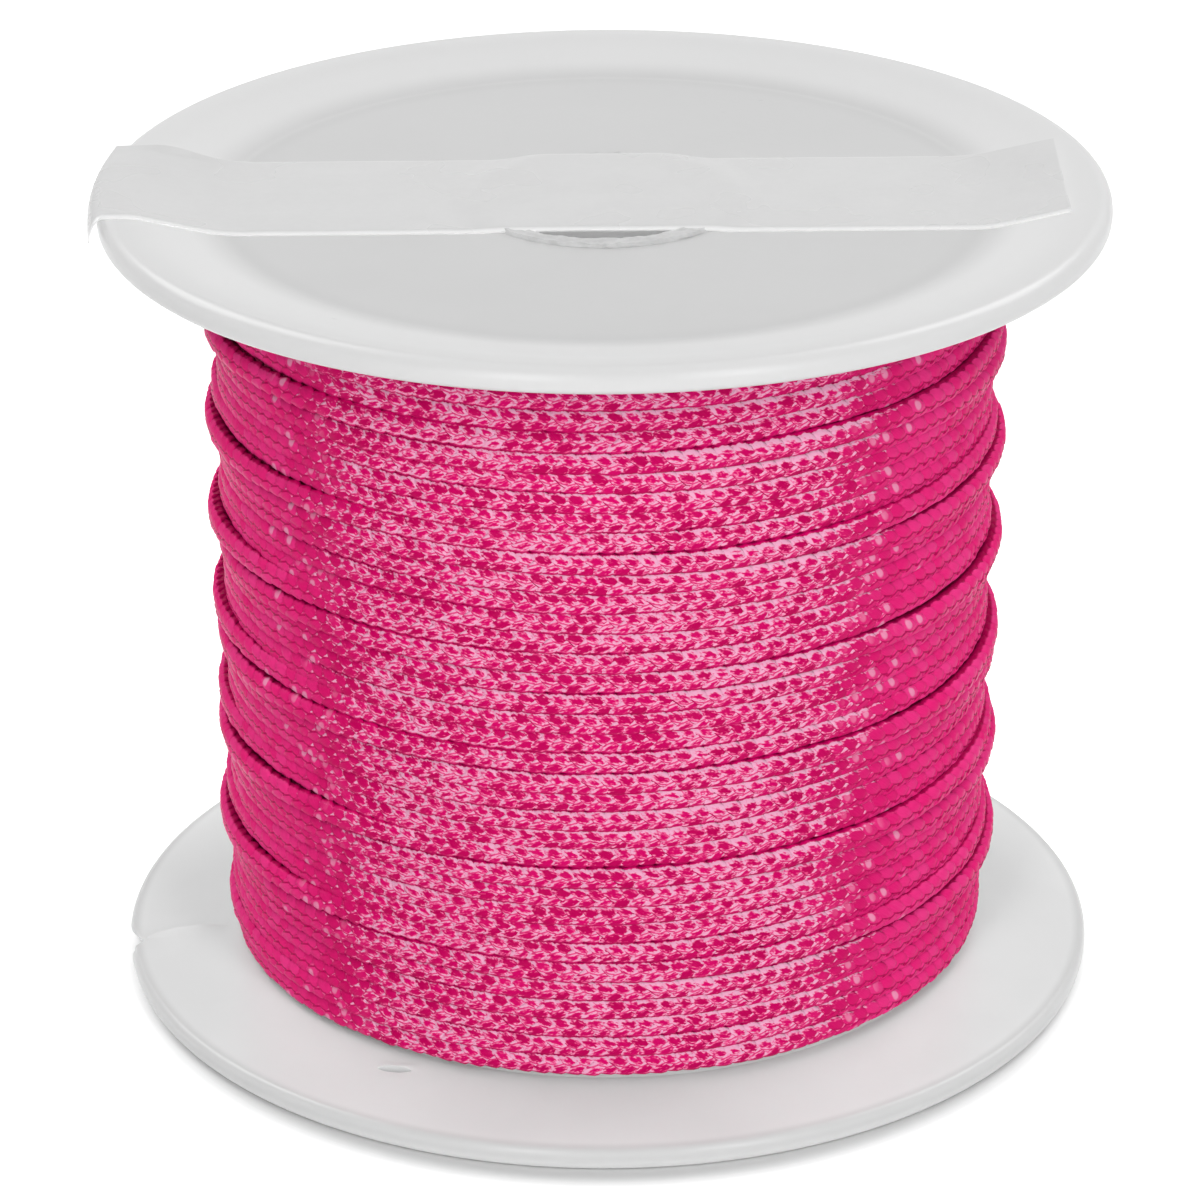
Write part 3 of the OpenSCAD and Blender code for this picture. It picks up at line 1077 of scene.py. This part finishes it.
# tape
tape = {
    "width": 12.0,
    "thickness": 0.1,
    "offset": 0.65,  # of its middle towards the back
    "yaw": -0.8,  # degrees
    "end": 26.3,
    "foldFront": -28.2,
    "foldBack": -28.4,
    "flapDrop": 1.15,
    "flapOut": 0.42,
    "flapTaper": ([-1, 0.95, 1], [1, 0.08, 0.02]),  # how much of it is left, from the front edge to the back
    "tipSlant": 0.9,
    "rimGap": 0.08,
    "lift": 0.12,  # of its middle above the flange's face
    "frontDip": 0.11,  # how far the cut front edge turns down
    "stiffness": 2.2,  # half the length over which it rounds off a bend
    "onFlange": (8, 28.2),  # radii between which it lies on the flange
    "hubRise": 0.3,
    "hubReach": (9.4, 2.2),  # radius where it starts to rise over the hub's end, and over what length
    "curl": 0.25,
    "curlPlace": -25,
    "curlLength": 1.4,
    "curlFrom": 0.86,  # of the way from its middle to its back edge
    "crease": 0.02,
    "rows": 230,
    "columns": 49,
    "seed": 8,
    "sharpAngle": 50,
}


def tapeBed(radius):  # the stiff film rounds off the bends of the face below it
    span = np.linspace(-tape["stiffness"], tape["stiffness"], 23)
    weights = np.cos(span / tape["stiffness"] * math.pi / 2) ** 2
    rounded = (faceDepth(np.clip(radius + span, *tape["onFlange"])) * weights).sum() / weights.sum()
    return min(faceDepth(radius), rounded)


def tapeMiddle():  # the film's middle surface, and how much painted highlight its cut edges get
    t = tape
    across = np.linspace(-1, 1, t["columns"])
    flap = np.linspace(1, 0, 13)[:-1]
    flat = np.linspace(0, 1, t["rows"])
    slant = math.tan(math.radians(t["yaw"]))
    outermost = t["onFlange"][1]
    riseFrom, riseSpan = t["hubReach"]
    points = np.zeros((len(flap) + len(flat), len(across), 3))
    edge = np.zeros(points.shape[:2])
    for k, v in enumerate(across):
        y0 = t["offset"] + v * t["width"] / 2
        fold = np.interp(v, [-1, 1], [t["foldFront"], t["foldBack"]])
        atBack = float(ease((v - t["curlFrom"]) / (1 - t["curlFrom"])))
        for i, u in enumerate(flat):
            x = fold + u * (t["end"] - fold)
            y = y0 - slant * x
            radius = math.hypot(x, y)
            depth = float(tapeBed(min(radius, outermost)))
            rise = t["hubRise"] * (0.8 + 0.4 * v) * float(ease((riseFrom - radius) / riseSpan))
            curl = t["curl"] * math.exp(-((x - t["curlPlace"]) / t["curlLength"]) ** 2) * atBack
            crease = t["crease"] * wander(x * 0.5, y * 0.5, 0, t["seed"]) - (t["frontDip"] if k == 0 else 0)
            points[len(flap) + i, k] = (x, y, spoolHeight - depth + t["lift"] + rise + curl + crease)
        base = points[len(flap), k].copy()
        left = float(np.interp(v, *t["flapTaper"]))
        for i, g in enumerate(flap):
            rim = math.sqrt(max(spoolRadius ** 2 - base[1] ** 2, 0)) + t["rimGap"]
            outer = max(rim, -base[0] + 0.02) + t["flapOut"] * left
            x = base[0] + (-outer - base[0]) * math.sin(g * math.pi / 2)
            z = base[2] - t["flapDrop"] * left * (1 - math.cos(g * math.pi / 2))
            points[i, k] = (x, base[1] - t["tipSlant"] * g * left * max(0, -v) ** 3, z)
    # painted highlight along the cut edges, strongest on the front edge
    edge[:, 0] = 1
    edge[:, 1] = 0.5
    edge[:, -1] = 0.6
    edge[0, :] = 0.5
    edge[-1, :] = 0.5
    return points, edge


def makeTape():
    points, edge = tapeMiddle()
    normal = np.cross(np.gradient(points, axis=0), np.gradient(points, axis=1))
    normal /= np.linalg.norm(normal, axis=2)[:, :, None]
    faceOffset = normal * tape["thickness"] / 2
    top, bottom = points + faceOffset, points - faceOffset
    rows, columns = points.shape[:2]
    count = rows * columns
    faces = []
    for i in range(rows - 1):
        for k in range(columns - 1):
            a, d = i * columns + k, i * columns + k + 1
            b, c = a + columns, d + columns
            faces += [(a, b, c, d), (count + a, count + d, count + c, count + b)]
    rim = list(range(columns)) + [i * columns + columns - 1 for i in range(1, rows)]
    rim += [(rows - 1) * columns + k for k in range(columns - 2, -1, -1)]
    rim += [i * columns for i in range(rows - 2, 0, -1)]
    faces += [(a, b, b + count, a + count) for a, b in zip(rim, rim[1:] + rim[:1])]
    return closedPiece("tapeStrip", np.concatenate([top.reshape(-1, 3), bottom.reshape(-1, 3)]), faces,
                       tape["sharpAngle"], {"edge": np.concatenate([edge.ravel(), edge.ravel()])})


def tapeMaterial():
    material, tree = newMaterial("frosted film")
    place = objectPlace(tree)
    mottle, fine = cloudsAt(place, 170.0, 2.0), cloudsAt(place, 1900.0, 2.0)
    colour = (mottle * 0.7 + fine * 0.3).band(0.3, 0.7).blend(grey(0.7), grey(0.73))
    # painted highlight on the cut edges
    colour = (attribute(tree, "edge").band(0.2, 0.9) * 0.8).blend(colour, grey(1.0))
    shader = Wire.node(tree, "ShaderNodeBsdfPrincipled", {}, {
        "Base Color": colour,
        "Roughness": mottle * 0.08 + 0.24,
        "IOR": 1.49,
        "Alpha": mottle * 0.02 + 0.97,
        "Normal": relief(mottle * 0.5 + fine * 0.5, 0.2, 0.00004),
    })
    shadow = Wire.node(tree, "ShaderNodeLightPath", output="Is Shadow Ray")
    through = Wire.node(tree, "ShaderNodeBsdfTransparent", {}, {"Color": (1.0, 1.0, 1.0, 1)})
    closeMaterial(tree, Wire.node(tree, "ShaderNodeMixShader", {}, {0: shadow * 0.9, 1: shader, 2: through}))
    return material


tapePiece = makeTape()
tapePiece.data.materials.append(tapeMaterial())
hangOn(tapePiece, "tape_film", "tape_strip")
print("tape:", len(tapePiece.data.polygons), "faces")
